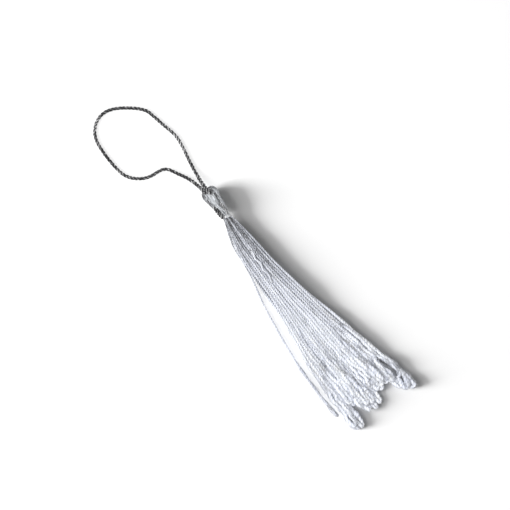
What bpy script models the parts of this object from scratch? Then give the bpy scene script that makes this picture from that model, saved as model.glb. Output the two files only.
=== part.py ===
"""A silk tassel with a hanging loop, lying on its back on a flat surface.

A skein of soft twisted cord is folded over the hanging cord, which makes the round head.
A thread binds its neck, and below the neck the turns of the skein fan out as a skirt.
The turns aren't cut, so each ends in a small loop.

Lengths are in millimetres and the model is in metres. +Y runs from the skirt to the hanging
loop, +Z is up, and the origin is on the surface, under the middle of the head.
"""

import math

import bmesh
import bpy
import numpy as np
from mathutils import Vector

MM = 0.001
GAP = 0.3  # between pieces that touch on the real tassel

# Hanging cord: plies laid together.
CORD_WIDTH = 1.05
CORD_VALLEY = 0.7  # radius between two plies, as a share of the radius on a ply
CORD_PLIES = 3
CORD_LAY = 3.6  # length of one full turn of the plies
CORD_STEPS_PER_LAY = 10
# Its line, out of the front of the head on the left, round and back on the right.
LOOP_ROUTE = [
    (-1.31, 2.28, 4.25), (-1.37, 3.00, 3.91), (-1.50, 4.00, 3.30), (-1.78, 5.30, 2.50),
    (-2.20, 7.00, 1.55), (-2.85, 8.80, 0.88), (-3.60, 10.40, 0.58), (-4.70, 12.40, 0.54),
    (-5.90, 14.70, 0.54), (-7.30, 16.05, 0.54), (-9.20, 16.55, 0.54), (-11.60, 16.75, 0.54),
    (-13.90, 17.50, 0.54), (-16.10, 19.00, 0.54), (-17.80, 20.90, 0.54), (-18.90, 23.60, 0.54),
    (-19.35, 27.50, 0.54), (-19.40, 32.00, 0.54), (-18.90, 36.30, 0.54), (-17.30, 39.40, 0.54),
    (-14.60, 41.40, 0.54), (-11.50, 41.95, 0.54), (-8.20, 41.00, 0.54), (-5.00, 38.90, 0.54),
    (-2.20, 36.50, 0.54), (-0.30, 34.00, 0.54), (0.45, 31.00, 0.54), (1.20, 27.30, 0.54),
    (2.00, 23.80, 0.54), (2.20, 21.00, 0.54), (1.75, 17.60, 0.54), (1.05, 14.30, 0.54),
    (0.50, 11.20, 0.60), (0.10, 8.40, 1.12), (-0.13, 6.30, 2.05), (-0.23, 4.80, 2.90),
    (-0.26, 3.60, 3.62), (-0.25, 2.80, 4.08), (-0.20, 2.00, 4.40), (-0.14, 1.18, 4.54),
]

# Head: the folded top of the skein.
HEAD_RIDGES = 20
HEAD_POINTS = 2 * HEAD_RIDGES
HEAD_REST = 0.15  # what would lie this near the surface is pressed flat on it
# y: place along the tassel; x, z: centre of the section; wide, high: its half sizes;
# ridge: how far a strand stands out; left, right, tail: depth of the grooves for the cord.
HEAD_SECTIONS = [
    dict(y=3.00, x=-0.50, z=2.45, wide=1.30, high=0.90, ridge=0.00, left=0.35, right=0.35, tail=0),
    dict(y=2.70, x=-0.40, z=2.45, wide=1.95, high=1.65, ridge=0.06, left=1.15, right=1.15, tail=0),
    dict(y=2.00, x=-0.27, z=2.45, wide=2.57, high=2.30, ridge=0.10, left=1.20, right=1.35, tail=0),
    dict(y=1.50, x=-0.25, z=2.45, wide=2.75, high=2.45, ridge=0.12, left=0.00, right=1.40, tail=0),
    dict(y=0.80, x=-0.25, z=2.45, wide=2.85, high=2.55, ridge=0.12, left=0.00, right=1.35, tail=0),
    dict(y=0.35, x=-0.30, z=2.45, wide=2.80, high=2.55, ridge=0.12, left=0.00, right=0.00, tail=0),
    dict(y=-1.00, x=-0.30, z=2.42, wide=2.52, high=2.46, ridge=0.12, left=0.00, right=0.00, tail=0),
    dict(y=-2.20, x=-0.30, z=2.40, wide=2.30, high=2.36, ridge=0.10, left=0.00, right=0.00, tail=0),
    dict(y=-2.70, x=-0.30, z=2.38, wide=2.24, high=2.28, ridge=0.10, left=0.00, right=0.00, tail=1),
    dict(y=-4.20, x=-0.28, z=2.34, wide=2.12, high=2.12, ridge=0.10, left=0.00, right=0.00, tail=1),
    dict(y=-5.70, x=-0.35, z=2.28, wide=1.92, high=1.92, ridge=0.08, left=0.00, right=0.00, tail=1),
    dict(y=-6.45, x=-0.40, z=2.24, wide=1.74, high=1.74, ridge=0.04, left=0.00, right=0.00, tail=0.4),
    dict(y=-6.85, x=-0.42, z=2.20, wide=0.90, high=0.90, ridge=0.00, left=0.00, right=0.00, tail=0),
    dict(y=-8.42, x=-0.45, z=2.20, wide=0.90, high=0.90, ridge=0.00, left=0.00, right=0.00, tail=0),
    dict(y=-8.70, x=-0.50, z=2.20, wide=1.88, high=1.88, ridge=0.00, left=0.00, right=0.00, tail=0),
    dict(y=-9.00, x=-0.50, z=2.20, wide=1.98, high=1.98, ridge=0.00, left=0.00, right=0.00, tail=0),
]
# angle: round the head from straight up, in degrees; half: half width of the groove there.
HEAD_GROOVES = [
    dict(depth="left", angle=-31.0, half=1.05),
    dict(depth="right", angle=3.0, half=1.05),
    dict(depth="tail", angle=-27.0, half=0.90),
    dict(depth="tail", angle=27.0, half=0.90),
]
NECK_SLANT = 0.2  # the binding and the waist under it lean this much
WAIST = (-6.45, -8.70)

# The cord's two ends, which show on the front of the head between its strands.
TAIL_WIDTH = 0.7
TAIL_ANGLES = dict(left=-27.0, right=27.0)
TAIL_SPAN = (-3.00, -5.90)
TAIL_RADII = (2.02, 1.76)  # from the head's middle, at the two ends of TAIL_SPAN

# Binding: two turns of thread at the neck.
THREAD_WIDTH = 0.42
BINDING_Y = (-7.40, -7.80)
BINDING_RADIUS = 0.92 + GAP + THREAD_WIDTH / 2
BINDING_STEPS = 28
THREAD_SHOWS = 0.72  # share of a turn's outer half that the other turn leaves free
THREAD_STEPS = 4  # round that share

# Skirt: the uncut turns of the skein, in pairs of strands that end in a loop.
NECK_Y = -9.0
NECK_X = -0.5
NECK_Z = 2.2
NECK_ROWS = (4, 6, 6, 8, 8, 6, 6, 4)  # strands in each layer at the neck, from the bottom up
NECK_ROW_HEIGHT = 0.40
ROOT_DEPTH = 0.4  # how far the strands reach into the head
# run: distance from the neck; left, right: edges of the skirt; strand: width that a strand takes.
SKIRT_OUTLINE = [
    dict(run=0, left=-2.20, right=1.20, strand=0.42),
    dict(run=5, left=-3.65, right=1.90, strand=0.61),
    dict(run=10, left=-4.90, right=2.35, strand=0.73),
    dict(run=20, left=-5.60, right=3.30, strand=0.84),
    dict(run=30, left=-5.90, right=5.00, strand=0.91),
    dict(run=40, left=-6.90, right=7.25, strand=0.95),
    dict(run=50, left=-8.55, right=9.50, strand=0.98),
    dict(run=60, left=-8.95, right=11.80, strand=1.01),
    dict(run=70, left=-9.10, right=14.10, strand=1.04),
    dict(run=80, left=-9.10, right=14.60, strand=1.05),
]
# Where the loops end: a pair whose middle lies left of "x" at the hem ends at "run".
HEM = [
    dict(x=-7.2, run=78.4),
    dict(x=-5.2, run=79.1),
    dict(x=-3.6, run=71.8),
    dict(x=-1.9, run=75.2),
    dict(x=0.3, run=76.4),
    dict(x=2.6, run=75.8),
    dict(x=4.9, run=72.2),
    dict(x=6.6, run=73.2),
    dict(x=8.6, run=72.4),
    dict(x=10.6, run=74.4),
    dict(x=12.2, run=77.4),
    dict(x=math.inf, run=78.0),
]
HEM_FROM = 64  # the ends are given out here
HEM_LAYER_STEP = 1.7  # a pair that lies higher ends this much sooner for each strand width
HEM_LAYER_BASE = 0.6  # height of the lowest layer, in strand widths
HEM_OPENING = 0.5  # how much further apart a pair stands at its loop, in strand widths
HEM_OPENS_OVER = 8.0
HEM_CLEARANCE = 3.0  # a pair keeps its place this far past its loop
TURN_LENGTH = 1.3
TURN_STEPS = 5
LAST_STOP = 3.5  # the strand's own points end this far before its loop's end
NO_END = 99.0  # for a pair whose end isn't given out yet
# The stray pair, one strand on the other, bows out from the left edge of the skirt.
STRAY = [
    dict(run=12, out=0.0),
    dict(run=20, out=0.6),
    dict(run=30, out=2.6),
    dict(run=40, out=3.0),
    dict(run=50, out=2.9),
    dict(run=60, out=2.8),
    dict(run=68, out=2.5),
    dict(run=72, out=1.9),
]
STRAY_END = 71.5
STRAY_BEGINS_OVER = 6.0  # the run over which the pair leaves the rest
STRAY_RISE = 0.9  # from one strand up to the other, in strand widths

SETTLE_SEED = 27
SETTLE_STEP = 1.0
SWAY = 0.02  # how far a strand wanders of itself in a step
SWAY_KEPT = 0.85  # share of a step's wander that goes on into the next
SWAY_FRESH = 0.53
PAIR_SPACING = 1.04  # between the two strands of a pair, in strand widths
PAIR_SLACK = 0.1
SETTLE_ROUNDS = 60
PUSH = 0.45  # share of an overlap that is mended in a round
PULL = 0.25  # the same for a pair that is too far apart or too near
NECK_HOLD = 4.0  # over this run the strands keep their order at the neck
SMOOTHING = 2.6  # reach of the smoothing along a strand, in settle steps
FALL = 0.16  # how fast an unsupported strand comes down, in mm for each mm of its run
STRAND_SHARE = 0.66  # a four-sided strand's width, as a share of the round space it takes
LOOP_SHARE = 0.56  # the same round its loop
STRAND_RUNS = (1.5, 3, 5, 7.5, 10, 13, 16, 20, 25, 30, 36, 42, 48, 54, 60, 65, 69, 72, 75)


def column(rows, key, place, name):
    """The value of one named column at a place, read between the rows."""
    order = sorted(rows, key=lambda row: row[key])
    return float(np.interp(place, [row[key] for row in order], [row[name] for row in order]))


def new_material(name, colour, roughness):
    material = bpy.data.materials.new(name)
    material.use_nodes = True
    surface = material.node_tree.nodes["Principled BSDF"]
    surface.inputs["Base Color"].default_value = (*colour, 1.0)
    surface.inputs["Roughness"].default_value = roughness
    surface.inputs["Metallic"].default_value = 0.0
    return material


def new_object(name, build, material=None):
    """An object whose mesh is what build adds to an empty bmesh, in millimetres."""
    mesh = bpy.data.meshes.new(name)
    shape = bmesh.new()
    build(shape)
    bmesh.ops.scale(shape, vec=(MM, MM, MM), verts=shape.verts)
    bmesh.ops.recalc_face_normals(shape, faces=shape.faces)
    shape.to_mesh(mesh)
    shape.free()
    mesh.shade_smooth()
    mesh.set_sharp_from_angle(angle=math.radians(50))
    made = bpy.data.objects.new(name, mesh)
    bpy.context.scene.collection.objects.link(made)
    if material:
        mesh.materials.append(material)
    return made


def join_rings(shape, rings, closed=False):
    """Joins rings of points into a tube, with flat ends or else closed on itself."""
    made = [[shape.verts.new(point) for point in ring] for ring in rings]
    after = made[1:] + made[:1]
    for ring, following in zip(made, after if closed else after[:-1]):
        for i in range(len(ring)):
            j = (i + 1) % len(ring)
            shape.faces.new((ring[i], ring[j], following[j], following[i]))
    if not closed:
        shape.faces.new(made[0])
        shape.faces.new(made[-1])


def frames_along(path):
    """For each point of a path that is never upright: the point, its side and its up."""
    placed = []
    for i, point in enumerate(path):
        ahead = (path[min(i + 1, len(path) - 1)] - path[max(i - 1, 0)]).normalized()
        up = (Vector((0, 0, 1)) - ahead * ahead.z).normalized()
        placed.append((point, ahead.cross(up), up))
    return placed


# ---------------------------------------------------------------- hanging cord


def smooth_path(points, spacing):
    """Points an even distance apart on a smooth curve through the given ones."""
    given = [Vector(p) for p in points]
    given = [2 * given[0] - given[1], *given, 2 * given[-1] - given[-2]]
    fine = []
    for a, b, c, d in zip(given, given[1:], given[2:], given[3:]):
        for t in np.linspace(0, 1, 20, endpoint=False):
            bend = 2 * a - 5 * b + 4 * c - d
            fine.append(0.5 * (2 * b + (c - a) * t + bend * t**2 + (3 * b - a - 3 * c + d) * t**3))
    fine.append(given[-2])
    fine = np.array(fine)
    along = np.concatenate([[0], np.cumsum(np.linalg.norm(np.diff(fine, axis=0), axis=1))])
    at = np.linspace(0, along[-1], round(along[-1] / spacing) + 1)
    return [Vector([np.interp(s, along, fine[:, k]) for k in range(3)]) for s in at]


def build_laid_cord(shape, points, width):
    """A cord of plies in a right-handed twist: a ridge for each and a valley between two."""
    spacing = CORD_LAY / CORD_STEPS_PER_LAY
    rings = []
    for step, (point, side, up) in enumerate(frames_along(smooth_path(points, spacing))):
        turned = -2 * math.pi * step / CORD_STEPS_PER_LAY
        ring = []
        for corner in range(2 * CORD_PLIES):
            radius = width / 2 * (CORD_VALLEY if corner % 2 else 1.0)
            angle = turned + math.pi * corner / CORD_PLIES
            ring.append(point + radius * (math.cos(angle) * side + math.sin(angle) * up))
        rings.append(ring)
    join_rings(shape, rings)


def build_hanging_loop(shape):
    build_laid_cord(shape, LOOP_ROUTE, CORD_WIDTH)


def tail_builder(angle):
    """What builds the tail at an angle round the head."""
    turn = math.radians(angle)
    points = []
    for y, radius in zip(TAIL_SPAN, TAIL_RADII):
        x = column(HEAD_SECTIONS, "y", y, "x") + radius * math.sin(turn)
        z = column(HEAD_SECTIONS, "y", y, "z") + radius * math.cos(turn)
        points.append(Vector((x, y, z)))
    return lambda shape: build_laid_cord(shape, points, TAIL_WIDTH)


# ------------------------------------------------------------------------ head


def head_ring(section):
    """One section of the head: an oval with a ridge for each strand, grooves and a flat back."""
    slant = NECK_SLANT if WAIST[0] > section["y"] > WAIST[1] else 0.0
    ring = []
    for i in range(HEAD_POINTS):
        angle = 2 * math.pi * i / HEAD_POINTS
        depth = 0.0
        for groove in HEAD_GROOVES:
            away = math.remainder(angle - math.radians(groove["angle"]), 2 * math.pi)
            share = min(1.0, abs(away) * section["high"] / groove["half"])
            depth = max(depth, section[groove["depth"]] * math.sqrt(1 - share**4))
        swell = -depth if depth else section["ridge"] * (1 if i % 2 else -1)
        across = (section["wide"] + swell) * math.sin(angle)
        z = section["z"] + (section["high"] + swell) * math.cos(angle)
        if z < HEAD_REST:
            z = 0.0
        ring.append(Vector((section["x"] + across, section["y"] - slant * across, z)))
    return ring


def build_head(shape):
    join_rings(shape, [head_ring(section) for section in HEAD_SECTIONS])


# ----------------------------------------------------------------------- skirt


def neck_layout():
    """Where the strands leave the neck, side by side in layers; a pair is two neighbours."""
    width = SKIRT_OUTLINE[0]["strand"]
    places = []
    for row, count in enumerate(NECK_ROWS):
        z = NECK_Z + (row - (len(NECK_ROWS) - 1) / 2) * NECK_ROW_HEIGHT
        places += [(NECK_X + (i - (count - 1) / 2) * width, z) for i in range(count)]
    return np.array(places)


def outline_at(run):
    """Left edge, right edge and strand width of the skirt at a run."""
    return [column(SKIRT_OUTLINE, "run", run, name) for name in ("left", "right", "strand")]


def pair_opening(run, ends, width):
    """How far apart the two strands of each pair may stand, wider where their loop ends."""
    opened = np.clip((run - ends + HEM_OPENS_OVER) / HEM_OPENS_OVER, 0, 1)
    return np.repeat(width * (PAIR_SPACING + HEM_OPENING * opened), 2)[:, None]


def place_stray(places, pair, run):
    """Puts the stray pair in its bow, beside the left edge and one strand on the other."""
    left, _, width = outline_at(run)
    begun = min(1.0, max(0.0, (run - STRAY[0]["run"]) / STRAY_BEGINS_OVER))
    if not begun:
        return
    x = left + width / 2 - column(STRAY, "run", run, "out")
    floor = width * STRAND_SHARE / 2
    for strand, z in ((2 * pair, floor), (2 * pair + 1, floor + width * STRAY_RISE)):
        places[strand] += begun * (np.array((x, z)) - places[strand])


def push_apart(places, ends, run, stray):
    """Moves strands that overlap apart, keeps each pair together and all above the surface."""
    left, right, width = outline_at(run)
    count = len(places)
    partner = np.arange(count) ^ 1
    live = np.repeat(ends > run - HEM_CLEARANCE, 2)
    opening = pair_opening(run, ends, width)
    own = np.arange(count) // 2 == stray
    edge = np.where(own, -np.inf, left + width / 2)
    for _ in range(SETTLE_ROUNDS):
        gap = places[:, None] - places[None]
        far = np.linalg.norm(gap, axis=2) + np.eye(count) * 2 * width
        both = live[:, None] & live[None]
        push = np.where(both & (far < width), (width - far) / 2, 0.0)
        places += (gap / far[..., None] * push[..., None]).sum(1) * PUSH
        apart = places[partner] - places
        distance = np.linalg.norm(apart, axis=1, keepdims=True)
        excess = distance - opening
        pull = np.maximum(excess, 0) + np.minimum(excess + PAIR_SLACK * width, 0)
        places += apart / distance * pull * PULL
        places[:, 0] = np.clip(places[:, 0], edge, right - width / 2)
        places[:, 1] = np.maximum(places[:, 1], width * STRAND_SHARE / 2)
        place_stray(places, stray, run)
    return places


def hem_runs(places, width, stray):
    """How far each pair runs, from where its middle lies at the hem and in which layer."""
    middle = (places[0::2] + places[1::2]) / 2
    ends = []
    for x, z in middle:
        run = next(row["run"] for row in HEM if x < row["x"])
        ends.append(run - HEM_LAYER_STEP * max(0.0, z / width - HEM_LAYER_BASE))
    ends[stray] = STRAY_END
    return np.array(ends)


def smoothed(laid):
    """The same places with the small steps along each strand taken out."""
    reach = math.ceil(2.3 * SMOOTHING)
    weights = np.exp(-0.5 * (np.arange(-reach, reach + 1) / SMOOTHING) ** 2)
    padded = np.concatenate([np.repeat(laid[:1], reach, 0), laid, np.repeat(laid[-1:], reach, 0)])
    total = sum(w * padded[i : i + len(laid)] for i, w in enumerate(weights))
    return total / weights.sum()


def lay_skirt():
    """Runs, the (x, z) of every strand at each run, how far each pair goes, and the stray one.

    The bundle of strands is followed from the neck to the hem in small steps. At each step
    it widens to the outline, every strand sinks a little, and strands that meet are pushed
    apart, so that they come to lie on the surface and on each other.
    """
    wobble = np.random.default_rng(SETTLE_SEED)
    runs = np.arange(0, SKIRT_OUTLINE[-1]["run"] + SETTLE_STEP, SETTLE_STEP)
    places = neck_layout()
    ends = np.full(len(places) // 2, NO_END)
    middles = (places[0::2] + places[1::2]) / 2
    stray = int(np.argmin(middles[:, 0] + 0.5 * middles[:, 1]))
    sway = wobble.normal(size=places.shape)
    laid = [places.copy()]
    for before, run in zip(runs, runs[1:]):
        old_left, old_right, _ = outline_at(before)
        left, right, width = outline_at(run)
        share = (places[:, 0] - old_left) / (old_right - old_left)
        places[:, 0] = left + share * (right - left)
        places[:, 1] -= FALL * SETTLE_STEP
        sway = SWAY_KEPT * sway + SWAY_FRESH * wobble.normal(size=sway.shape)
        places = push_apart(places + SWAY * sway, ends, run, stray)
        if run == HEM_FROM:
            ends = hem_runs(places, width, stray)
        laid.append(places.copy())
    laid = np.array(laid)
    settled = smoothed(laid)
    for i, run in enumerate(runs):
        kept = min(1.0, run / NECK_HOLD)
        places = kept * settled[i] + (1 - kept) * laid[i]
        settled[i] = push_apart(places, ends, run, stray) if run else laid[0]
    return runs, settled, ends, stray


def pair_path(runs, laid, first, end):
    """The line of a pair: down one strand, round its loop at the hem and back up the other.

    Its points come in three lists: one strand, the loop and the other strand.
    """
    along = [run for run in STRAND_RUNS if run < end - LAST_STOP]
    stops = [-ROOT_DEPTH, 0, *along, end - TURN_LENGTH]
    legs = []
    for strand in (first, first + 1):
        leg = []
        for run in stops:
            x, z = (np.interp(max(run, 0), runs, laid[:, strand, k]) for k in range(2))
            leg.append(Vector((x, NECK_Y - run, z)))
        legs.append(leg)
    middle = (legs[0][-1] + legs[1][-1]) / 2
    half = (legs[1][-1] - legs[0][-1]) / 2
    turn = []
    for step in range(1, TURN_STEPS + 1):
        angle = math.pi * step / (TURN_STEPS + 1)
        onward = Vector((0, -TURN_LENGTH * math.sin(angle), 0))
        turn.append(middle - half * math.cos(angle) + onward)
    return legs[0], turn, legs[1][::-1]


def pair_rings(down, turn, back):
    """Square sections of a pair: level along its strands, and carried on round its loop."""
    path = down + turn + back
    level_up = Vector((0, 0, 1))
    up = level_up
    rings = []
    for i, point in enumerate(path):
        ahead = (path[min(i + 1, len(path) - 1)] - path[max(i - 1, 0)]).normalized()
        up = (up - ahead * ahead.dot(up)).normalized()
        in_loop = len(down) <= i < len(down) + len(turn)
        if not in_loop:
            level = ahead.cross(level_up).normalized()
            upright = level.cross(ahead)
            up = max((upright, level, -upright, -level), key=up.dot)
        side = ahead.cross(up)
        share = LOOP_SHARE if in_loop else STRAND_SHARE
        half = share / 2 * outline_at(max(NECK_Y - point.y, 0))[2]
        corners = ((-1, -1), (1, -1), (1, 1), (-1, 1))
        rings.append([point + half * (a * side + b * up) for a, b in corners])
    return rings


def build_pairs(shape):
    runs, laid, ends, _ = lay_skirt()
    for pair, end in enumerate(ends):
        join_rings(shape, pair_rings(*pair_path(runs, laid, 2 * pair, end)))


def build_skein(material):
    """The whole skein in one piece: its folded top is the head, and its turns are the skirt."""
    head = new_object("skein", build_head, material)
    pairs = new_object("skirt_pairs", build_pairs)
    pairs.hide_render = True
    pairs.display_type = "WIRE"
    join = head.modifiers.new("join_skirt", "BOOLEAN")
    join.operation = "UNION"
    join.solver = "EXACT"
    join.object = pairs


# --------------------------------------------------------------------- binding


def build_binding(shape):
    """Two turns of thread side by side round the neck, as one ring."""
    middle = sum(BINDING_Y) / 2
    x = column(HEAD_SECTIONS, "y", middle, "x")
    z = column(HEAD_SECTIONS, "y", middle, "z")
    outer = []
    inner = []
    for y, way, begins in zip(BINDING_Y, (1, -1), (0.0, 1.0 - THREAD_SHOWS)):
        for step in range(THREAD_STEPS + 1):
            angle = math.pi * (begins + THREAD_SHOWS * step / THREAD_STEPS)
            along = THREAD_WIDTH / 2 * math.cos(angle)
            outer.append((y + along, THREAD_WIDTH / 2 * math.sin(angle)))
        inner.append((y + way * THREAD_WIDTH / 4, -THREAD_WIDTH / 2))
    profile = outer + inner[::-1]
    rings = []
    for step in range(BINDING_STEPS):
        angle = 2 * math.pi * step / BINDING_STEPS
        ring = []
        for y, out in profile:
            across = (BINDING_RADIUS + out) * math.sin(angle)
            up = (BINDING_RADIUS + out) * math.cos(angle)
            ring.append(Vector((x + across, y - NECK_SLANT * across, z + up)))
        rings.append(ring)
    join_rings(shape, rings, closed=True)


def main():
    for old in list(bpy.data.objects):
        bpy.data.objects.remove(old)
    silk = new_material("white silk", (0.80, 0.82, 0.86), 0.35)
    cord = new_material("grey cord", (0.13, 0.13, 0.14), 0.45)
    thread = new_material("white thread", (0.85, 0.86, 0.88), 0.5)
    build_skein(silk)
    new_object("neck_binding", build_binding, thread)
    for side, angle in TAIL_ANGLES.items():
        new_object("cord_tail_" + side, tail_builder(angle), cord)
    new_object("hanging_loop", build_hanging_loop, cord)


main()
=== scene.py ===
"""The looks of the silk tassel.

The skein is made as the maker's own: 24 turns of soft two-ply silk, folded over the hanging
cord at the head, bound at the neck, and hanging below it as 48 strands that end in loops.
Lengths are in millimetres until a mesh is made; +Y runs from the skirt to the hanging loop.
"""

import math

import bpy
import numpy as np
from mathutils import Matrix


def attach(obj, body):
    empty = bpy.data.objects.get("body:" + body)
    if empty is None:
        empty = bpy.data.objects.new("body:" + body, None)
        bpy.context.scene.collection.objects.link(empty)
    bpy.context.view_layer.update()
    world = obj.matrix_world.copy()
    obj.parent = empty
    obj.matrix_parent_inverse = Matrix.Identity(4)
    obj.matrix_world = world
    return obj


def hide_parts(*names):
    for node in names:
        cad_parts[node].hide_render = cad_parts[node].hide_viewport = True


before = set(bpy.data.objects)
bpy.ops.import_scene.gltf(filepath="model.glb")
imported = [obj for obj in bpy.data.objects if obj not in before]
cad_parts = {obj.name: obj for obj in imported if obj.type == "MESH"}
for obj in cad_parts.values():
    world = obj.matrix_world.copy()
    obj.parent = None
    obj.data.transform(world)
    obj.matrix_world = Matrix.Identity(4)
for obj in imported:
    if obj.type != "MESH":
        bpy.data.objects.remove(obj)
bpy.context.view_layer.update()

MM = 0.001
rng = np.random.default_rng(11)
speckle_rng = np.random.default_rng(5)  # its own, so that the speckles change no shape


def table(names, *rows):
    """A dict of each row, by the names of the columns."""
    return [dict(zip(names.split(), row)) for row in rows]


# ---- camera

VIEW_MIDDLE = (-0.63, -23.4)  # the point of the floor at the middle of the picture
VIEW_WIDTH = 163.2  # width of floor that the picture shows
VIEW_TURN = -37.2  # degrees from +X to the right-hand side of the picture
LENS = 135.0
SENSOR = 36.0


def add_camera():
    """Looks straight down at the tassel as it lies, from far enough to show it as flat."""
    data = bpy.data.cameras.new("camera")
    data.lens = LENS
    data.sensor_width = SENSOR
    data.clip_start = 0.01
    camera = bpy.data.objects.new("camera", data)
    bpy.context.scene.collection.objects.link(camera)
    height = VIEW_WIDTH * LENS / SENSOR
    camera.location = (VIEW_MIDDLE[0] * MM, VIEW_MIDDLE[1] * MM, height * MM)
    camera.rotation_euler = (0, 0, math.radians(VIEW_TURN))
    bpy.context.scene.camera = camera


add_camera()


# ---- lines, and yarn along them

CURVE_STEPS = 20  # from one given point of a smooth path to the next
STEEP = 0.9
PLY_SHARPNESS = 1.2  # above 1 a yarn's plies are narrower than the valleys between them


def smooth_path(points, spacing):
    """Points an even distance apart on a smooth curve through the given ones."""
    given = [np.array(p, float) for p in points]
    given = [2 * given[0] - given[1], *given, 2 * given[-1] - given[-2]]
    fine = []
    for a, b, c, d in zip(given, given[1:], given[2:], given[3:]):
        for t in np.linspace(0, 1, CURVE_STEPS, endpoint=False):
            bend = 2 * a - 5 * b + 4 * c - d
            fine.append(0.5 * (2 * b + (c - a) * t + bend * t**2 + (3 * b - a - 3 * c + d) * t**3))
    fine.append(given[-2])
    return evenly(np.array(fine), spacing)


def distances(line):
    """How far along the line each of its points is."""
    return np.concatenate([[0], np.cumsum(np.linalg.norm(np.diff(line, axis=0), axis=1))])


def evenly(line, spacing):
    """The same line with its points an even distance apart."""
    along = distances(line)
    at = np.linspace(0, along[-1], max(2, round(along[-1] / spacing) + 1))
    return np.stack([np.interp(at, along, line[:, k]) for k in range(line.shape[1])], axis=1)


def softened(values, reach):
    """Takes out what changes faster than reach, in steps, and keeps the two ends."""
    wide = math.ceil(3 * reach)
    weights = np.exp(-0.5 * (np.arange(-wide, wide + 1) / reach) ** 2)
    weights /= weights.sum()
    before = 2 * values[:1] - values[wide:0:-1]
    after = 2 * values[-1:] - values[-2 : -wide - 2 : -1]
    padded = np.concatenate([before, values, after])
    columns = [np.convolve(padded[:, k], weights, "valid") for k in range(values.shape[1])]
    return np.stack(columns, axis=1)


def wander(count, reach, size, columns=3, source=rng):
    """A slow random change along a line, of about the given size."""
    drawn = source.normal(size=(count + 8 * math.ceil(reach), columns))
    slow = softened(drawn, reach)[4 * math.ceil(reach) :][:count]
    return slow * size / (np.std(slow) + 1e-9)


def carried_frames(line):
    """Up and side at each point of a line, neither of which turns about the line."""
    ahead = np.gradient(line, axis=0)
    ahead /= np.linalg.norm(ahead, axis=1, keepdims=True)
    up = np.array((0.0, 0.0, 1.0)) if abs(ahead[0][2]) < STEEP else np.array((1.0, 0.0, 0.0))
    ups = []
    for direction in ahead:
        up = up - direction * up.dot(direction)
        up = up / np.linalg.norm(up)
        ups.append(up)
    ups = np.array(ups)
    return ups, np.cross(ahead, ups)


def plied_section(plies, corners, valley):
    """Radii round a section: 1 on each ply, and the valley between two, which may be a list."""
    angle = 2 * np.pi * np.arange(corners) / corners
    valley = np.asarray(valley)[..., None]
    return valley + (1 - valley) * np.abs(np.cos(plies * angle / 2)) ** PLY_SHARPNESS


def speckles(line, reach, size):
    """Small changes of tone along a strand."""
    return wander(len(line), reach, size, 1, speckle_rng)[:, 0]


class YarnMesh:
    """Collects lengths of yarn and makes one mesh of them.

    Its UV map counts turns round the yarn and mm along it. Its attribute tone is as given, and
    crest is 1 on the plies and 0 in the valleys between them.
    """

    def __init__(self):
        self.points, self.faces, self.caps = [], [], []
        self.tiles, self.tones, self.crests = [], [], []
        self.count = 0

    def lay(self, line, width, section, lay, tone=0.0, phase=None):
        """Lays yarn along a line. lay is the length of one full turn of its plies."""
        up, side = carried_frames(line)
        along = distances(line)
        section = np.broadcast_to(section, (len(line), np.shape(section)[-1]))
        corners = section.shape[1]
        width, tone, lay = (np.broadcast_to(given, len(line)) for given in (width, tone, lay))
        turned = 2 * np.pi * np.cumsum(np.gradient(along) / lay)
        turned += rng.uniform(0, 2 * np.pi) if phase is None else phase
        angle = turned[:, None] + 2 * np.pi * np.arange(corners + 1) / corners
        radius = width[:, None] / 2 * section
        ring = np.cos(angle[:, :-1, None]) * up[:, None]
        ring = ring + np.sin(angle[:, :-1, None]) * side[:, None]
        self.points.append((line[:, None] + radius[..., None] * ring).reshape(-1, 3))
        self.tones.append(np.repeat(tone, corners))
        above = (section - section.min()) / max(np.ptp(section), 1e-9)
        self.crests.append(above.ravel())
        ring_start = self.count + corners * np.arange(len(line) - 1)[:, None]
        this = np.arange(corners)
        following = (this + 1) % corners
        square = (this, following, corners + following, corners + this)
        quads = [ring_start + corner for corner in square]
        self.faces.append(np.stack(quads, axis=-1).reshape(-1, 4))
        around = angle / (2 * np.pi)
        length = np.broadcast_to(along[:, None], around.shape)
        tile = np.stack([around, length], axis=-1)
        tiles = (tile[:-1, :-1], tile[:-1, 1:], tile[1:, 1:], tile[1:, :-1])
        self.tiles.append(np.stack(tiles, axis=2).reshape(-1, 2))
        last = self.count + corners * (len(line) - 1)
        self.caps.append((self.count + this[::-1]).tolist())
        self.caps.append((last + this).tolist())
        self.count += corners * len(line)

    def make(self, name, material):
        """The mesh object of all that was laid."""
        mesh = bpy.data.meshes.new(name)
        points = np.concatenate(self.points) * MM
        faces = np.concatenate(self.faces).tolist() + self.caps
        mesh.from_pydata(points.tolist(), [], faces)
        tiles = np.concatenate(self.tiles)
        spare = np.zeros((len(mesh.loops) - len(tiles), 2))
        layer = mesh.uv_layers.new(name="fibre")
        layer.data.foreach_set("uv", np.concatenate([tiles, spare]).ravel())
        for kind, values in (("tone", self.tones), ("crest", self.crests)):
            attribute = mesh.attributes.new(kind, "FLOAT", "POINT")
            attribute.data.foreach_set("value", np.concatenate(values))
        mesh.shade_smooth()
        mesh.materials.append(material)
        made = bpy.data.objects.new(name, mesh)
        bpy.context.scene.collection.objects.link(made)
        return made


# ---- materials


class Wire:
    """One output of a shader node. Arithmetic on it adds Math nodes to its material."""

    def __init__(self, finish, socket):
        self.finish = finish
        self.socket = socket

    def math(self, operation, *values):
        return self.finish.node("ShaderNodeMath", {"operation": operation}, dict(enumerate(values)))

    def __add__(self, other):
        return self.math("ADD", self, other)

    def __sub__(self, other):
        return self.math("SUBTRACT", self, other)

    def __rsub__(self, other):
        return self.math("SUBTRACT", other, self)

    def __mul__(self, other):
        return self.math("MULTIPLY", self, other)

    __radd__ = __add__
    __rmul__ = __mul__


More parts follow.
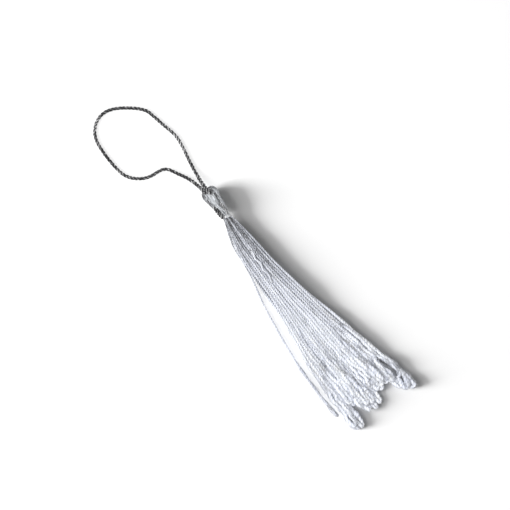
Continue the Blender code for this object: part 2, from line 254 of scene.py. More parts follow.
class Finish:
    """A material with one Principled surface, whose node() adds what feeds it."""

    def __init__(self, name, **constants):
        self.material = bpy.data.materials.new(name)
        self.material.use_nodes = True
        self.nodes = self.material.node_tree.nodes
        self.links = self.material.node_tree.links
        self.surface = self.nodes["Principled BSDF"]
        for socket, value in constants.items():
            self.surface.inputs[socket.replace("_", " ")].default_value = value

    def give(self, socket, value):
        """Links a wire to a socket, or sets it to a constant."""
        if isinstance(value, Wire):
            self.links.new(value.socket, socket)
        else:
            socket.default_value = value

    def node(self, kind, settings=None, sockets=None, output=0):
        """A new node with these settings, and these values or wires on its sockets."""
        made = self.nodes.new(kind)
        for name, value in (settings or {}).items():
            if name == "stops":
                self.set_stops(made.color_ramp, value)
            else:
                setattr(made, name, value)
        for name, value in (sockets or {}).items():
            self.give(made.inputs[name], value)
        return Wire(self, made.outputs[output])

    def set_stops(self, ramp, stops):
        while len(ramp.elements) < len(stops):
            ramp.elements.new(0.5)
        for element, (place, value) in zip(ramp.elements, stops):
            element.position = place
            element.color = (value, value, value, 1)

    def blend(self, share, first, second):
        """A colour between two, by the share of the second."""
        first, second = [c if isinstance(c, Wire) else (*c, 1) for c in (first, second)]
        sockets = {0: share, 6: first, 7: second}
        return self.node("ShaderNodeMix", {"data_type": "RGBA"}, sockets, output=2)

    def noise(self, place, scale):
        return self.node("ShaderNodeTexNoise", {}, {"Vector": place, "Scale": scale})

    def fibres(self, around, along, lean):
        """Streaks along the yarn: finer with around, shorter with along, aslant by lean."""
        tile = self.node("ShaderNodeUVMap", {"uv_map": "fibre"})
        split = self.node("ShaderNodeSeparateXYZ", {}, {0: tile})
        length = Wire(self, split.socket.node.outputs[1])
        angle = (split + length * lean) * (2 * math.pi)
        across = angle.math("COSINE", angle) * around
        upward = angle.math("SINE", angle) * around
        place = self.node("ShaderNodeCombineXYZ", {}, {0: across, 1: upward, 2: length * along})
        return self.noise(place, 1.0)

    def attribute(self, name):
        return self.node("ShaderNodeAttribute", {"attribute_name": name}, output=2)

    def colour(self, value):
        self.give(self.surface.inputs["Base Color"], value)

    def roughness(self, value):
        self.give(self.surface.inputs["Roughness"], value)

    def relief(self, height, depth):
        sockets = {"Height": height, "Distance": depth, "Strength": 1.0}
        self.give(self.surface.inputs["Normal"], self.node("ShaderNodeBump", {}, sockets))


SILK_DEPTH = 1.2  # how far light goes on inside the silk
SILK_GREY = (0.09, 0.09, 0.095)
# Painted shade: the tone takes the silk towards that grey, and the valleys between its plies get
# more of it.
TONE_SHADE = 0.70  # how far a tone of 1 takes the silk to that grey,
PAINTED_VALLEY_SHADE = 0.23  # how much further between its plies,
PAINTED_VALLEY_LEAST = 0.02  # and how far there at a tone of 0


def silk_finish(name, glow, blue):
    """White silk: lustrous, with streaks of fibre, grey where tone rises, and painted shade between
    its plies.

    glow is how much of the light goes on inside it, less where it is packed tight, and blue is
    the blue of its whitest streaks.
    """
    silk = Finish(
        name,
        Sheen_Weight=0.15,
        Sheen_Roughness=0.4,
        Subsurface_Weight=glow,
        Subsurface_Radius=(1.0, 1.0, 1.0),
        Subsurface_Scale=SILK_DEPTH * MM,
    )
    streak = silk.fibres(around=2.2, along=0.9, lean=0.06)
    fine = silk.fibres(around=6.0, along=2.0, lean=0.06)
    bright = streak * 0.6 + fine * 0.4
    dull, clear = (0.785, 0.82, blue - 0.075), (0.865, 0.90, blue)
    white = silk.blend(bright, dull, clear)
    tone = silk.attribute("tone")
    between = 1.0 - silk.attribute("crest")
    # Painted shade: the tone, and more of it between the plies, takes the silk towards SILK_GREY.
    grey = tone * TONE_SHADE + between * (tone * PAINTED_VALLEY_SHADE + PAINTED_VALLEY_LEAST)
    silk.colour(silk.blend(grey, white, SILK_GREY))
    silk.roughness(0.45 + bright * 0.25)
    silk.relief(bright, 0.05 * MM)
    return silk.material


def thread_finish():
    """Pale sewing thread, less white than the silk."""
    thread = Finish("white thread", Sheen_Weight=0.2)
    fine = thread.fibres(around=4.0, along=2.5, lean=0.1)
    thread.colour(thread.blend(fine, (0.55, 0.56, 0.58), (0.74, 0.75, 0.76)))
    thread.roughness(0.38 + fine * 0.25)
    thread.relief(fine, 0.03 * MM)
    return thread.material


PAINTED_GLINT_STOPS = ((0.50, 0.0), (0.66, 1.0))  # from no painted glint to a full one
PAINTED_GLINT_BY_GLEAM = 0.12  # how much a painted gleam of 1 adds to what those stops read


def cord_finish():
    """Charcoal cord: near black between its plies as painted shade, with painted glints of fibre
    along them.
    """
    cord = Finish("grey cord", Specular_IOR_Level=0.22)
    fine = cord.fibres(around=5.0, along=1.6, lean=0.15)
    patch = cord.fibres(around=1.1, along=0.75, lean=0.0)
    gleam = cord.attribute("tone")
    shine = fine * 0.5 + patch * 0.5 + gleam * PAINTED_GLINT_BY_GLEAM
    painted_glint = cord.node("ShaderNodeValToRGB", {"stops": PAINTED_GLINT_STOPS}, {0: shine})
    crest = cord.attribute("crest")
    # Painted shade: near black in the valleys between the plies, charcoal on them.
    charcoal_and_valley_shade = cord.blend(crest, (0.002, 0.002, 0.003), (0.024, 0.024, 0.026))
    cord.colour(cord.blend(painted_glint * crest * crest, charcoal_and_valley_shade, (0.75, 0.75, 0.76)))
    cord.roughness(0.45 + fine * 0.3)
    cord.relief(fine, 0.05 * MM)
    return cord.material


SILK = silk_finish("white silk", glow=1.0, blue=1.0)
HEAD_SILK = silk_finish("white silk of the head", glow=0.35, blue=0.94)
THREAD = thread_finish()
CORD = cord_finish()


# ---- hanging cord

CORD_WIDTH = 1.14  # across its plies
CORD_LAY = 3.6  # for a full turn of them
CORD_SPACING = 0.16
CORD_FULL_BELOW = 12.0  # nearer the head than this its plies lie more and more open,
CORD_FULLNESS = 0.25  # and it is wider by up to this share
# Painted highlights, where the light catches the cord's fibres: a place on it, how far round there,
# and how much.
GLEAMS = table(
    "x y reach gleam",
    (-16.0, 40.5, 2.6, 1.0),
    (-19.2, 35.0, 2.0, 0.4),
    (-18.6, 24.0, 3.0, 0.5),
    (1.8, 19.0, 6.0, 0.8),
    (0.6, 30.0, 2.5, 0.3),
    (-1.0, 7.5, 2.5, 0.35),
    (-0.6, 1.6, 2.4, 0.6),
)
CORD_SECTION = plied_section(plies=3, corners=18, valley=0.55)
# The cord's line much as in the solid: out of the head's front on the left, back on the right.
LOOP_ROUTE = [
    (-1.30, 2.28, 4.02), (-1.38, 3.00, 3.76), (-1.52, 4.00, 3.22), (-1.78, 5.30, 2.46),
    (-2.20, 7.00, 1.55), (-2.85, 8.80, 0.88), (-3.60, 10.40, 0.64), (-4.70, 12.40, 0.58),
    (-5.90, 14.70, 0.57), (-7.30, 16.05, 0.57), (-9.20, 16.55, 0.57), (-11.60, 16.75, 0.57),
    (-13.90, 17.50, 0.57), (-16.10, 19.00, 0.57), (-17.80, 20.90, 0.57), (-18.90, 23.60, 0.57),
    (-19.35, 27.50, 0.57), (-19.40, 32.00, 0.57), (-18.90, 36.30, 0.57), (-17.30, 39.40, 0.57),
    (-14.60, 41.40, 0.57), (-11.50, 41.95, 0.57), (-8.20, 41.00, 0.57), (-5.00, 38.90, 0.57),
    (-2.20, 36.50, 0.57), (-0.30, 34.00, 0.57), (0.45, 31.00, 0.57), (1.20, 27.30, 0.57),
    (2.00, 23.80, 0.57), (2.20, 21.00, 0.57), (1.75, 17.60, 0.57), (1.05, 14.30, 0.57),
    (0.50, 11.20, 0.64), (0.10, 8.40, 1.12), (-0.13, 6.30, 2.05), (-0.23, 4.80, 2.90),
    (-0.26, 3.60, 3.62), (-0.25, 2.80, 4.08), (-0.20, 2.00, 4.40), (-0.14, 1.18, 4.54),
]
# How the cord goes on from each end of that line, into the fold of the skein.
INTO_HEAD = [(-1.18, 1.60, 4.08), (-1.05, 0.95, 3.92), (-0.92, 0.35, 3.56)]
OUT_OF_HEAD = [(-0.14, 0.42, 4.58), (-0.16, -0.30, 4.32), (-0.18, -0.85, 3.82)]


def add_hanging_loop():
    """The cord that the tassel hangs by, whose two stretches meet at the top of the head."""
    line = smooth_path(INTO_HEAD[::-1] + LOOP_ROUTE + OUT_OF_HEAD, CORD_SPACING)
    yarn = YarnMesh()
    near_head = np.clip((CORD_FULL_BELOW - line[:, 1]) / CORD_FULL_BELOW, 0, 1)
    width = CORD_WIDTH * (1 + CORD_FULLNESS * near_head)
    gleam = np.zeros(len(line))
    for place in GLEAMS:
        away = np.hypot(line[:, 0] - place["x"], line[:, 1] - place["y"]) / place["reach"]
        gleam += place["gleam"] * np.exp(-(away**2))
    yarn.lay(line, width, CORD_SECTION, CORD_LAY, gleam, phase=0.0)
    loop = yarn.make("hanging_loop_cord", CORD)
    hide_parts("hanging_loop")
    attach(loop, "root")


add_hanging_loop()


# ---- where the strands of the skirt lie

NECK_Y = -9.0
NECK_X = -0.5
NECK_Z = 2.2
NECK_ROWS = (4, 6, 6, 8, 8, 6, 6, 4)  # strands in each layer, from the floor up
NECK_ROW_HEIGHT = 0.40
# run: distance below the neck; left, right: the skirt's edges there; strand: a strand's width.
SKIRT_OUTLINE = table(
    "run left right strand",
    (0, -2.20, 1.20, 0.42),
    (5, -3.65, 1.90, 0.61),
    (10, -4.90, 2.35, 0.73),
    (20, -5.60, 3.30, 0.84),
    (30, -5.90, 5.00, 0.91),
    (40, -6.90, 7.25, 0.95),
    (50, -8.55, 9.50, 0.98),
    (60, -8.95, 11.80, 1.01),
    (70, -9.10, 14.10, 1.04),
    (80, -9.10, 14.60, 1.05),
)
# How far the pairs go whose middle is left of x at HEM_FROM.
HEM = table(
    "x run",
    (-7.2, 78.4), (-5.2, 79.1), (-3.6, 71.8), (-1.9, 75.2), (0.3, 76.4), (2.6, 75.8),
    (4.9, 72.2), (6.6, 73.2), (8.6, 72.4), (10.6, 74.4), (12.2, 77.4), (math.inf, 78.0),
)
HEM_FROM = 64
HEM_LAYER_STEP = 1.7  # a pair ends this much sooner for each strand's width that it lies
HEM_LAYER_BASE = 0.6  # higher than this
HEM_OPENING = 0.5  # in strand widths: a pair opens by this much before its loop,
HEM_OPENS_OVER = 8.0  # over this length
HEM_CLEARANCE = 3.0  # strands that ended this far back push no others
TURN_LENGTH = 1.3  # of the turn that joins a pair
NO_END = 99.0
# How far out of the left edge the stray pair lies.
STRAY = table(
    "run out",
    (12, 0.0), (20, 0.6), (30, 2.6), (40, 3.0), (50, 2.9), (60, 2.8), (68, 2.5), (72, 1.9),
)
STRAY_END = 71.5
STRAY_BEGINS_OVER = 6.0
STRAY_RISE = 0.9  # how much higher its second strand lies, in strand widths
STRAY_LOW = 0.5  # it is the pair furthest left, where height counts this much
SETTLE_SEED = 27
SETTLE_STEP = 1.0
SWAY = 0.02
SWAY_KEPT = 0.85
SWAY_FRESH = 0.53
PAIR_SPACING = 1.04  # in strand widths, with the slack
PAIR_SLACK = 0.1
SETTLE_ROUNDS = 60
PUSH = 0.45
PULL = 0.25
NECK_HOLD = 4.0  # down to this run the strands keep the neck's order
SMOOTHING = 2.6
SMOOTHING_REACH = 2.3
FALL = 0.16  # how much the strands sink, for each mm of run
STRAND_SHARE = 0.66  # a strand's height on the floor, as a share of its width


def column(rows, key, place, name):
    """The value of one named column at a place, read between the rows."""
    order = sorted(rows, key=lambda row: row[key])
    return np.interp(place, [row[key] for row in order], [row[name] for row in order])


def neck_layout():
    """Where the strands leave the neck, side by side in layers; a pair is two neighbours."""
    width = SKIRT_OUTLINE[0]["strand"]
    places = []
    for row, count in enumerate(NECK_ROWS):
        z = NECK_Z + (row - (len(NECK_ROWS) - 1) / 2) * NECK_ROW_HEIGHT
        places += [(NECK_X + (i - (count - 1) / 2) * width, z) for i in range(count)]
    return np.array(places)


def outline_at(run):
    """Left edge, right edge and strand width of the skirt at a run."""
    return [float(column(SKIRT_OUTLINE, "run", run, name)) for name in ("left", "right", "strand")]


def pair_opening(run, ends, width):
    """How far apart the two strands of each pair are held."""
    opened = np.clip((run - ends + HEM_OPENS_OVER) / HEM_OPENS_OVER, 0, 1)
    return np.repeat(width * (PAIR_SPACING + HEM_OPENING * opened), 2)[:, None]


def place_stray(places, pair, run):
    """Takes the stray pair to its own place, left of the skirt and on the floor."""
    left, _, width = outline_at(run)
    begun = min(1.0, max(0.0, (run - STRAY[0]["run"]) / STRAY_BEGINS_OVER))
    if not begun:
        return
    x = left + width / 2 - float(column(STRAY, "run", run, "out"))
    floor = width * STRAND_SHARE / 2
    for strand, z in ((2 * pair, floor), (2 * pair + 1, floor + width * STRAY_RISE)):
        places[strand] += begun * (np.array((x, z)) - places[strand])


def push_apart(places, ends, run, stray):
    """Moves strands that meet apart, keeps pairs together, and all of them inside the outline."""
    left, right, width = outline_at(run)
    count = len(places)
    partner = np.arange(count) ^ 1
    live = np.repeat(ends > run - HEM_CLEARANCE, 2)
    opening = pair_opening(run, ends, width)
    own = np.arange(count) // 2 == stray
    edge = np.where(own, -np.inf, left + width / 2)
    for _ in range(SETTLE_ROUNDS):
        gap = places[:, None] - places[None]
        far = np.linalg.norm(gap, axis=2) + np.eye(count) * 2 * width
        both = live[:, None] & live[None]
        push = np.where(both & (far < width), (width - far) / 2, 0.0)
        places += (gap / far[..., None] * push[..., None]).sum(1) * PUSH
        apart = places[partner] - places
        distance = np.linalg.norm(apart, axis=1, keepdims=True)
        excess = distance - opening
        pull = np.maximum(excess, 0) + np.minimum(excess + PAIR_SLACK * width, 0)
        places += apart / distance * pull * PULL
        places[:, 0] = np.clip(places[:, 0], edge, right - width / 2)
        places[:, 1] = np.maximum(places[:, 1], width * STRAND_SHARE / 2)
        place_stray(places, stray, run)
    return places


def hem_runs(places, width, stray):
    """How far each pair goes."""
    middle = (places[0::2] + places[1::2]) / 2
    ends = []
    for x, z in middle:
        run = next(row["run"] for row in HEM if x < row["x"])
        ends.append(run - HEM_LAYER_STEP * max(0.0, z / width - HEM_LAYER_BASE))
    ends[stray] = STRAY_END
    return np.array(ends)


def smoothed(laid):
    """The strands without their sudden moves from one run to the next."""
    reach = math.ceil(SMOOTHING_REACH * SMOOTHING)
    weights = np.exp(-0.5 * (np.arange(-reach, reach + 1) / SMOOTHING) ** 2)
    padded = np.concatenate([np.repeat(laid[:1], reach, 0), laid, np.repeat(laid[-1:], reach, 0)])
    total = sum(w * padded[i : i + len(laid)] for i, w in enumerate(weights))
    return total / weights.sum()


def lay_skirt():
    """Runs, the (x, z) of every strand at each run, how far each pair goes, and the stray one.

    The bundle is followed from the neck to the hem, as in the solid: it widens to the outline,
    every strand sinks a little, and strands that meet are pushed apart.
    """
    wobble = np.random.default_rng(SETTLE_SEED)
    runs = np.arange(0, SKIRT_OUTLINE[-1]["run"] + SETTLE_STEP, SETTLE_STEP)
    places = neck_layout()
    ends = np.full(len(places) // 2, NO_END)
    middles = (places[0::2] + places[1::2]) / 2
    stray = int(np.argmin(middles[:, 0] + STRAY_LOW * middles[:, 1]))
    sway = wobble.normal(size=places.shape)
    laid = [places.copy()]
    for before, run in zip(runs, runs[1:]):
        old_left, old_right, _ = outline_at(before)
        left, right, width = outline_at(run)
        share = (places[:, 0] - old_left) / (old_right - old_left)
        places[:, 0] = left + share * (right - left)
        places[:, 1] -= FALL * SETTLE_STEP
        sway = SWAY_KEPT * sway + SWAY_FRESH * wobble.normal(size=sway.shape)
        places = push_apart(places + SWAY * sway, ends, run, stray)
        if run == HEM_FROM:
            ends = hem_runs(places, width, stray)
        laid.append(places.copy())
    laid = np.array(laid)
    settled = smoothed(laid)
    for i, run in enumerate(runs):
        kept = min(1.0, run / NECK_HOLD)
        places = kept * settled[i] + (1 - kept) * laid[i]
        settled[i] = push_apart(places, ends, run, stray) if run else laid[0]
    return runs, settled, ends, stray


# ---- skirt strands

STRAND_CORNERS = 12
STRAND_SECTION = plied_section(plies=2, corners=STRAND_CORNERS, valley=0.58)
STRAND_SPACING = 0.17
STRAND_LIFT = 0.15  # a round strand lies this much higher than the solid's, in its own widths
ROOT_RUN = -1.5  # the strands begin here, inside the binding
NECK_SQUEEZE = 0.70  # how much narrower the bundle is there
NECK_OPENS_AT = 2.5
# lay: length of a full turn of the two plies, which slacken and spread down the skirt; valley:
# radius between them, as a share of the strand's half width.
STRAND_BODY = table(
    "run width lay valley",
    (-2, 0.55, 1.45, 0.52),
    (3, 0.66, 1.45, 0.52),
    (12, 0.78, 1.50, 0.52),
    (30, 0.95, 1.60, 0.55),
    (45, 1.15, 1.90, 0.62),
    (60, 1.38, 2.20, 0.69),
    (80, 1.46, 2.30, 0.72),
)
LAY_RANGE = (0.92, 1.10)  # of one pair's lay, as a share of that
TOP_ROW = range(44, 48)
TOP_SPREAD = 1.4  # the top strands lie this many times further apart at the neck,
NECK_FULL_TO = 16.0  # and as the others from here on
# The strands on top lie side by side at an even height, as if stroked flat.
EVEN_HEIGHT = 0.8
EVEN_REACH = 2.2
EVEN_ROUNDS = 6
EVEN_PULL = 0.5
EVEN_SOFTENING = 2.0
EVEN_TO = 52.0  # from this run on they come to lie as they were laid,
EVEN_FADE = 14.0  # over this length
SEEN_SAMPLES = np.linspace(-0.45, 0.45, 9)  # places across a strand, in its widths
SEEN_SOFTENING = 3.0
SEEN_ENOUGH = 0.35
LEG_SOFTENING = 6.0
STRAND_WANDER = dict(reach=20, size=0.03)
# Loops at the hem: they lie open and loose.
LOOP_OPENS_OVER = 6.0
LOOP_HALF_WIDTH = 0.62
LOOP_TILT = 30  # degrees, to either side
TURN_POINTS = 16
TURN_SOFTENING = 1.5
CRINKLE_FROM = 36.0
CRINKLE_REACH = 5.0
CRINKLE = (0.20, 0.20, 0.07)
UNEVENNESS = dict(above=0.06, hem=0.10)  # how much a strand's width varies along it,
UNEVEN_REACH = 5.0  # and in how many points
# Three pairs, whose loops hang lower or lie wider open than the others'.
LOOSE_LOOPS = {
    4: dict(run=76.0, half=0.8),
    11: dict(run=78.4, half=1.0),
    15: dict(run=77.8, half=1.0),
}
# Where strands part and a dark line shows: from (x, run) to (x, run), and half the opening.
PARTINGS = table(
    "x run to_x to_run half",
    (-0.6, 13, -0.5, 26, 0.12),
    (0.7, 5, 2.0, 30, 0.16),
    (1.5, 5, 3.4, 30, 0.16),
    (4.2, 35, 9.9, 66, 0.20),
    (5.5, 34, 11.7, 71, 0.44),
    (-5.2, 14, -5.3, 36, 0.26),
    (-5.1, 34, -3.9, 64, 0.26),
    (8.3, 62, 8.6, 72, 0.45),
)
PARTING_REACH = 0.9  # strands nearer than this are pushed aside
PARTING_EDGE = 0.08
PARTING_BLUNTNESS = 0.7  # below 1 an opening is long and even, with short ends
PARTING_SHADE = 1.9  # tone, for each mm of the opening,
SHADE_REACH = 0.3  # on strands that lie this near its middle
# At the hem the right lobe is an open loop, which the floor shows through.
LOBE_OPENING = [dict(x=10.8, run=63.5, to_x=12.8, to_run=76.5, half=0.95)]
LOBE_REACH = 2.0


def smoothstep(share):
    """From 0 to 1 with soft ends, as share goes from 0 to 1."""
    share = np.clip(share, 0, 1)
    return share * share * (3 - 2 * share)


def bundle_squeeze(run):
    """How far the bundle is drawn in at a run, as a share of its own size."""
    share = smoothstep((run - ROOT_RUN) / (NECK_OPENS_AT - ROOT_RUN))
    return NECK_SQUEEZE + (1 - NECK_SQUEEZE) * share


def near_neck(run):
    """1 at the neck and 0 below the part of the skirt that is full there."""
    return 1 - smoothstep(run / NECK_FULL_TO)


def seen_share(places, width, live):
    """How much of each strand's width has no other strand above it."""
    across = SEEN_SAMPLES * width
    x, z = places.T
    covers = np.abs(x[:, None, None] + across[None, None] - x[None, :, None]) < width / 2
    covers &= (live[None] & (z[None] > z[:, None]))[..., None]
    return (1 - covers.any(1)).mean(1) * live


def opened_by(part, x, run):
    """How far from the middle of a parting x is, and how wide the parting is there."""
    share = np.clip((run - part["run"]) / (part["to_run"] - part["run"]), 0, 1)
    away = x - (part["x"] + (part["to_x"] - part["x"]) * share)
    return away, part["half"] * np.maximum(np.sin(np.pi * share), 0) ** PARTING_BLUNTNESS


def parted(x, run, partings, reach):
    """How far the strands at x are pushed aside by the partings."""
    pushed = np.zeros(len(x))
    for part in partings:
        away, opened = opened_by(part, x, run)
        pushed += np.tanh(away / PARTING_EDGE) * opened * np.exp(-((away / reach) ** 2))
    return pushed


def shade_of_partings(x, run):
    """How much greyer the strands are that lie deep in a parting."""
    shade = np.zeros(len(x))
    for part in PARTINGS:
        away, opened = opened_by(part, x, run)
        shade += PARTING_SHADE * opened * np.exp(-((away / SHADE_REACH) ** 2))
    return shade


def stroked(runs, laid, ends, stray):
    """The skirt with its top strands evenly high and evenly apart, but for the stray pair."""
    widths = [outline_at(run)[2] for run in runs]
    live = [np.repeat(ends > run, 2) for run in runs]
    seen = np.array([seen_share(*row) for row in zip(laid, widths, live)])
    seen = softened(seen, SEEN_SOFTENING)
    seen[:, 2 * stray : 2 * stray + 2] = 0
    evened = laid.copy()
    for run, places, share in zip(runs, evened, seen):
        x, z = places.T
        near = np.exp(-(((x[:, None] - x[None]) / EVEN_REACH) ** 2)) * share
        places[:, 1] += share * EVEN_HEIGHT * ((near * z).sum(1) / near.sum(1) - z)
        on_top = np.flatnonzero(share > SEEN_ENOUGH)
        for _ in range(EVEN_ROUNDS):
            order = on_top[np.argsort(places[on_top, 0])]
            between = (places[order[:-2], 0] + places[order[2:], 0]) / 2
            places[order[1:-1], 0] += EVEN_PULL * (between - places[order[1:-1], 0])
        places[:, 0] += share * parted(places[:, 0], run, PARTINGS, PARTING_REACH)
    count = len(runs)
    evened = softened(evened.reshape(count, -1), EVEN_SOFTENING).reshape(count, -1, 2)
    as_laid = smoothstep((runs - EVEN_TO) / EVEN_FADE)[:, None, None]
    return evened + as_laid * (laid - evened)


def strand_leg(laid, runs, strand, end):
    """Points of one strand, from its root in the neck to the start of its loop."""
    run = np.arange(ROOT_RUN, end - TURN_LENGTH + 1e-6, STRAND_SPACING)
    x, z = (np.interp(np.maximum(run, 0), runs, laid[:, strand, k]) for k in range(2))
    squeeze = bundle_squeeze(run)
    if strand in TOP_ROW:
        spread = 1 + (TOP_SPREAD - 1) * near_neck(run)
        x = NECK_X + (x - NECK_X) * spread
    x = NECK_X + (x - NECK_X) * squeeze
    z = NECK_Z + (z - NECK_Z) * squeeze
    return softened(np.stack([x, NECK_Y - run, z], axis=1), LEG_SOFTENING)


def pair_line(laid, runs, pair, end, loop_half):
    """The line of a pair of strands and the loop that joins them at the hem."""
    legs = [strand_leg(laid, runs, strand, end) for strand in (2 * pair, 2 * pair + 1)]
    middle = (legs[0] + legs[1]) / 2
    half = (legs[1] - legs[0]) / 2
    opened = smoothstep(1 - (middle[:, 1] - middle[-1, 1]) / LOOP_OPENS_OVER)[:, None]
    tilt = math.radians(rng.uniform(-LOOP_TILT, LOOP_TILT))
    way = 1.0 if half[-1, 0] >= 0 else -1.0
    open_half = way * loop_half * np.array((math.cos(tilt), 0, math.sin(tilt)))
    half = half + opened * (open_half - half)
    angle = np.pi * np.arange(1, TURN_POINTS) / TURN_POINTS
    turn = middle[-1] - half[-1] * np.cos(angle)[:, None]
    turn[:, 1] -= TURN_LENGTH * np.sin(angle)
    line = np.concatenate([middle - half, turn, (middle + half)[::-1]])
    return softened(evenly(line, STRAND_SPACING), TURN_SOFTENING)


def run_of(line):
    """How far below the neck each point of a line is."""
    return NECK_Y - line[:, 1]


def body_of(line, name):
    """The width, lay or valley of a strand at each point of its line."""
    return column(STRAND_BODY, "run", run_of(line), name)


# Painted shade at the neck, in lines between the ribs: how much greyer a strand is by where it
# leaves the binding, less on the ribs themselves.
NECK_RIB_SHADING = table(
    "x tone",
    (-2.0, -0.06), (-1.1, 0.18), (-0.4, -0.26), (0.25, 0.18), (1.0, -0.26),
)
RIBS_AT = 3.0
NECK_PAINTED_SHADE = 1.10  # painted shade on the silk at the neck, and how slowly that painted shade ends below it
NECK_SHADE_FADE = 26.0  # and how slowly that ends below it
LEG_CHANGE = (-8, 9)  # a line goes from its first strand to its second around its middle
OWN_TONE = dict(below=0.06, neck=0.16)  # how much a strand may differ from the next
SLOW_TONE = dict(reach=20, size=0.03)
SKIRT_SPECKLES = dict(reach=1.0, size=0.15)
# Painted shade on the hem, greyer beyond x and below a run, each over some distance: a painted
# shadow on the right lobe, and painted shade on the last strands at its left edge.
LOBE_PAINTED_SHADOW = dict(x=9.5, over=3.0, run=58, run_over=14, tone=0.3)
EDGE_PAINTED_SHADE = dict(x=-7.6, over=-1.0, run=45, run_over=10, tone=0.25)


def patch_shade(patch, line):
    """How much painted shade one such patch puts on a strand."""
    beyond = smoothstep((line[:, 0] - patch["x"]) / patch["over"])
    return patch["tone"] * (beyond * smoothstep((run_of(line) - patch["run"]) / patch["run_over"]))


def strand_tone(line):
    """Painted shade: greyer towards the neck and in lines between the ribs there, in partings and
    on patches of the hem; with tone that differs at random.
    """
    neck_weight = np.exp(-np.maximum(run_of(line), 0) / NECK_SHADE_FADE)
    leg = smoothstep(np.linspace(*LEG_CHANGE, len(line)))  # 0 on the first, 1 on the second
    near = np.searchsorted(run_of(line)[: len(line) // 2], RIBS_AT)
    rib_shading = column(NECK_RIB_SHADING, "x", line[[near, -1 - near], 0], "tone")
    first, second = rng.uniform(-1, 1, 2)
    own = (first + (second - first) * leg) * (OWN_TONE["below"] + OWN_TONE["neck"] * neck_weight)
    own += (rib_shading[0] + (rib_shading[1] - rib_shading[0]) * leg) * neck_weight**2
    own += patch_shade(EDGE_PAINTED_SHADE, line) + shade_of_partings(line[:, 0], run_of(line))
    slow = wander(len(line), **SLOW_TONE, columns=1)[:, 0]
    specks = speckles(line, **SKIRT_SPECKLES) * neck_weight
    return NECK_PAINTED_SHADE * neck_weight + patch_shade(LOBE_PAINTED_SHADOW, line) + own + slow + specks


# Filaments that have worked loose: each winds about its strand, further out near the hem.
FILAMENTS = 3
FILAMENT_SECTION = np.ones(4)
FILAMENT_FROM = 30.0
FILAMENT_WIDTH = 0.15
FILAMENT_THIN = 0.5  # its width as a share of that, before it comes loose,
FILAMENT_FULLER = 0.7  # and how much wider it is at the hem
FILAMENT_REACH = 0.42  # how far out it winds, in the strand's widths,
FILAMENT_LOOSER = 0.22  # and how much further at the hem
FILAMENT_UNEVEN = dict(reach=5, size=0.14)
FILAMENT_TURN = 0.09  # radians at each point
FILAMENT_SWAY = dict(reach=4, size=0.16)
FILAMENT_LAY = 3.0
FILAMENT_STEP = 2


def add_filaments(yarn, line, width, end):
    """Lays the loose filaments of one line of yarn."""
    below = np.flatnonzero(run_of(line) > FILAMENT_FROM)
    for _ in range(FILAMENTS):
        first, last = below[0], below[-1]
        third = (last - first) // 3
        start = rng.integers(first, first + third)
        stop = rng.integers(last - third, last)
        own = line[start:stop:FILAMENT_STEP]
        up, side = carried_frames(own)
        loose = smoothstep((run_of(own) - FILAMENT_FROM) / (end - FILAMENT_FROM))
        begin = rng.uniform(0, 2 * np.pi)
        sway = wander(len(own), **FILAMENT_SWAY, columns=1)[:, 0]
        turn = begin + np.cumsum(FILAMENT_TURN + sway)
        reach = width[start:stop:FILAMENT_STEP] * (FILAMENT_REACH + FILAMENT_LOOSER * loose)
        reach = reach * (1 + wander(len(own), **FILAMENT_UNEVEN, columns=1)[:, 0])
        own = own + reach[:, None] * (np.cos(turn)[:, None] * up + np.sin(turn)[:, None] * side)
        own[:, 2] = np.maximum(own[:, 2], FILAMENT_WIDTH)
        thick = FILAMENT_WIDTH * (FILAMENT_THIN + FILAMENT_FULLER * loose)
        yarn.lay(own, thick, FILAMENT_SECTION, FILAMENT_LAY, strand_tone(own))


# A crimped end that has worked out between the strands, and lies on them.
CRIMPED_END = table(
    "x run lift",
    (-0.95, 11.5, -0.5), (-0.75, 13.5, 0.4), (-1.30, 15.5, 0.7), (-0.80, 17.5, 0.7),
    (-1.45, 19.7, 0.7), (-1.00, 21.7, 0.6), (-1.75, 24.7, 0.3),
)
CRIMPED_WIDTH = 0.75
CRIMPED_LAY = 1.3
CRIMPED_TONE = 0.35
CRIMPED_REACH = 0.8  # it lies on whatever is this near


def crimped_end(lines):
    """Its line, on top of the strands that lie under it."""
    all_points = np.concatenate(lines)
    points = []
    for row in CRIMPED_END:
        y = NECK_Y - row["run"]
        near = np.hypot(all_points[:, 0] - row["x"], all_points[:, 1] - y) < CRIMPED_REACH
        points.append((row["x"], y, all_points[near, 2].max() + row["lift"]))
    return smooth_path(points, STRAND_SPACING)


SKIRT_PIECES = ("skirt_back", "skirt_lower", "skirt_upper", "skirt_front")
STRAY_PIECE = "skirt_stray"
PLAIN_BODY = dict(width=1, crinkle=1, half=1, tone=0)
STRAY_BODY = dict(width=0.72, crinkle=0.35, half=0.35, tone=0.20)
# How much further out the stray pair lies than in the solid.
STRAY_AWAY = table("run out", (14, 0.0), (27, 0.35), (40, 0.35), (64, 0.0))


